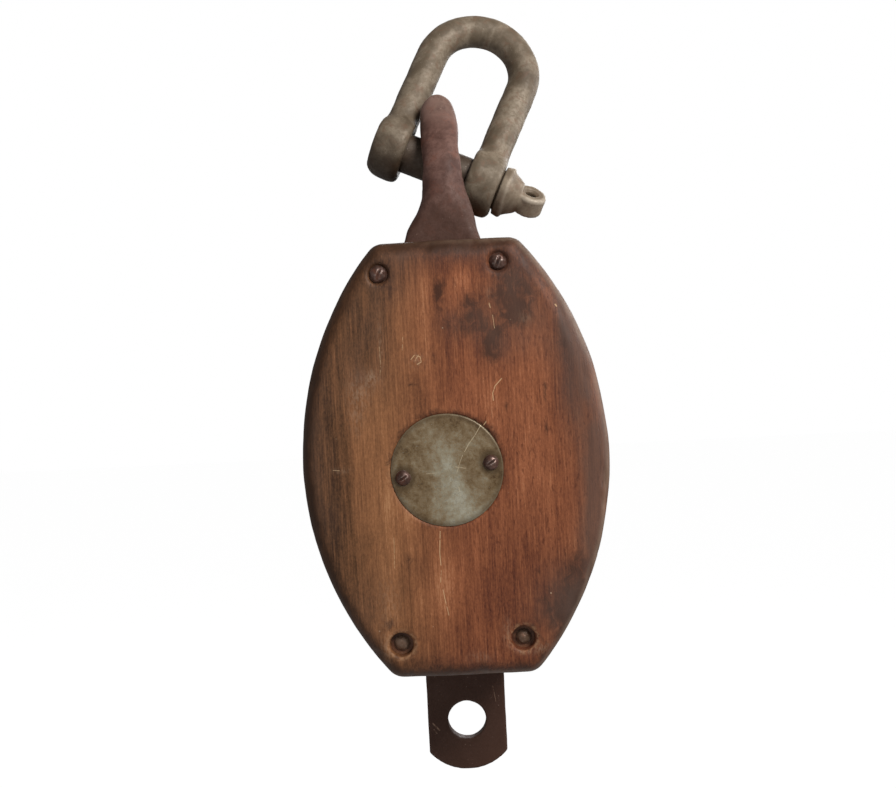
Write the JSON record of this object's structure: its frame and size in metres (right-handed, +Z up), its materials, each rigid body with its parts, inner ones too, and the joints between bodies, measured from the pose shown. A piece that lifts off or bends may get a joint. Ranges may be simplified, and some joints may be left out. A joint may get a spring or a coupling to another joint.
{
  "type": "pulley block",
  "caption": "Single-sheave wooden rigging block with an inside iron strap, becket tang and screw-pin shackle; carries a rope over a grooved wheel.",
  "frame": {"origin": "middle of the sheave pin, halfway between the cheeks", "axes": "+Z up the block to the shackle, +X to the right seen from the front cheek, -Y out of the front cheek; the sheave turns about Y"},
  "size_m": [0.143, 0.1052, 0.3854],
  "materials": {
    "shell_wood": "worn oiled hardwood",
    "forged_iron": "dark rusted forging",
    "sheave_iron": "rope-polished casting",
    "bronze": "tarnished bronze",
    "pin_steel": "greased steel",
    "cover_plate": "tarnished plate",
    "fastener_iron": "rusted",
    "galvanised": "weathered galvanising"
  },
  "bodies": {
    "shackle": {"shackle_bow": "galvanised"},
    "screw_pin": {"shackle_pin": "galvanised"},
    "block": {"front_cheek": "shell_wood", "rear_cheek": "shell_wood", "head_spacer": "shell_wood", "tail_spacer": "shell_wood", "strap": "forged_iron", "sheave_pin": "pin_steel", "front_cover_plate": "cover_plate", "rear_cover_plate": "cover_plate", "front_plate_screw_left": "fastener_iron", "front_plate_screw_right": "fastener_iron", "rear_plate_screw_left": "fastener_iron", "rear_plate_screw_right": "fastener_iron", "head_rivet_left": "fastener_iron", "head_rivet_right": "fastener_iron", "tail_rivet_left": "fastener_iron", "tail_rivet_right": "fastener_iron", "head_rove_left": "fastener_iron", "head_rove_right": "fastener_iron", "tail_rove_left": "fastener_iron", "tail_rove_right": "fastener_iron"},
    "sheave_wheel": {"sheave": "sheave_iron", "sheave_bush": "bronze"}
  },
  "joints": [
    {"name": "swing", "type": "hinge", "parent": "shackle", "child": "screw_pin", "pos_m": [0, 0, 0.1452], "axis": [0.9107, 0, -0.4131], "range_deg": [0, 62]},
    {"name": "rock", "type": "hinge", "parent": "screw_pin", "child": "block", "pos_m": [0, 0, 0.1452], "axis": [0, 1, 0], "range_deg": [0, 31]},
    {"name": "sheave_spin", "type": "hinge", "parent": "block", "child": "sheave_wheel", "pos_m": [0, 0, 0], "axis": [0, 1, 0], "continuous": true}
  ]
}
